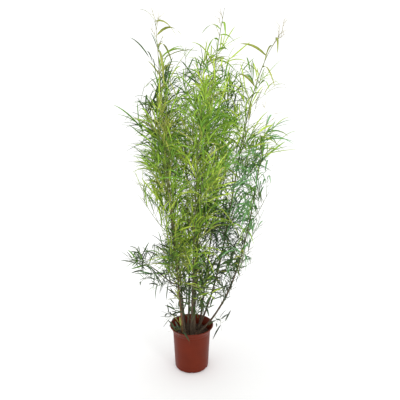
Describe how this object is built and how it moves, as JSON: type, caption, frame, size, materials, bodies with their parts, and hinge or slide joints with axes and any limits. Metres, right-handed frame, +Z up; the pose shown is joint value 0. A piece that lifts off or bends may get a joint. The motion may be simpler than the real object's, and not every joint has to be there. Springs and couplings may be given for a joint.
{
  "type": "potted narrow-leaved shrub",
  "caption": "Tall airy shrub with slender woody stems and long narrow arching leaves, standing in a plain round terracotta-coloured nursery pot.",
  "frame": {"origin": "centre of the pot's flat underside", "axes": "+Z up along the pot's axis; the plant's front faces -Y and its taller arching side leans to +X"},
  "size_m": [0.845, 0.7077, 1.7588],
  "materials": {
    "pot_plastic": "satin",
    "potting_soil": "matte",
    "bark": "matte",
    "leaf_lime": "satin",
    "leaf_green": "satin",
    "leaf_deep": "satin",
    "leaf_blue_green": "satin"
  },
  "bodies": {
    "root": {"pot": "pot_plastic", "soil": "potting_soil", "left_stem": "bark", "mid_left_stem": "bark", "centre_stem": "bark", "right_stem": "bark", "arching_stem": "bark", "front_stem": "bark", "front_left_stem": "bark", "back_stem": "bark", "back_left_stem": "bark", "back_right_stem": "bark", "low_left_bough": "bark", "left_head": "leaf_green", "left_side_1": "leaf_deep", "left_side_2": "leaf_green", "left_side_3": "leaf_green", "left_side_4": "leaf_green", "mid_left_head": "leaf_green", "mid_left_side_1": "leaf_deep", "mid_left_side_2": "leaf_green", "mid_left_side_3": "leaf_green", "centre_head": "leaf_green", "centre_side_1": "leaf_deep", "centre_side_2": "leaf_green", "centre_side_3": "leaf_green", "centre_side_4": "leaf_green", "right_head": "leaf_lime", "right_side_1": "leaf_deep", "right_side_2": "leaf_lime", "right_side_3": "leaf_lime", "arching_head": "leaf_blue_green", "arching_side_1": "leaf_deep", "arching_side_2": "leaf_blue_green", "arching_side_3": "leaf_blue_green", "arching_side_4": "leaf_blue_green", "front_head": "leaf_lime", "front_side_1": "leaf_lime", "front_side_2": "leaf_lime", "front_side_3": "leaf_lime", "front_left_head": "leaf_green", "front_left_side_1": "leaf_deep", "front_left_side_2": "leaf_green", "back_head": "leaf_green", "back_side_1": "leaf_deep", "back_side_2": "leaf_green", "back_side_3": "leaf_green", "back_left_head": "leaf_green", "back_left_side_1": "leaf_deep", "back_left_side_2": "leaf_green", "back_right_head": "leaf_deep", "back_right_side_1": "leaf_deep", "back_right_side_2": "leaf_deep", "back_right_side_3": "leaf_deep", "rim_left_spray": "leaf_deep", "rim_right_spray": "leaf_deep", "rim_front_spray": "leaf_deep", "low_left_foliage": "leaf_deep"}
  },
  "joints": []
}
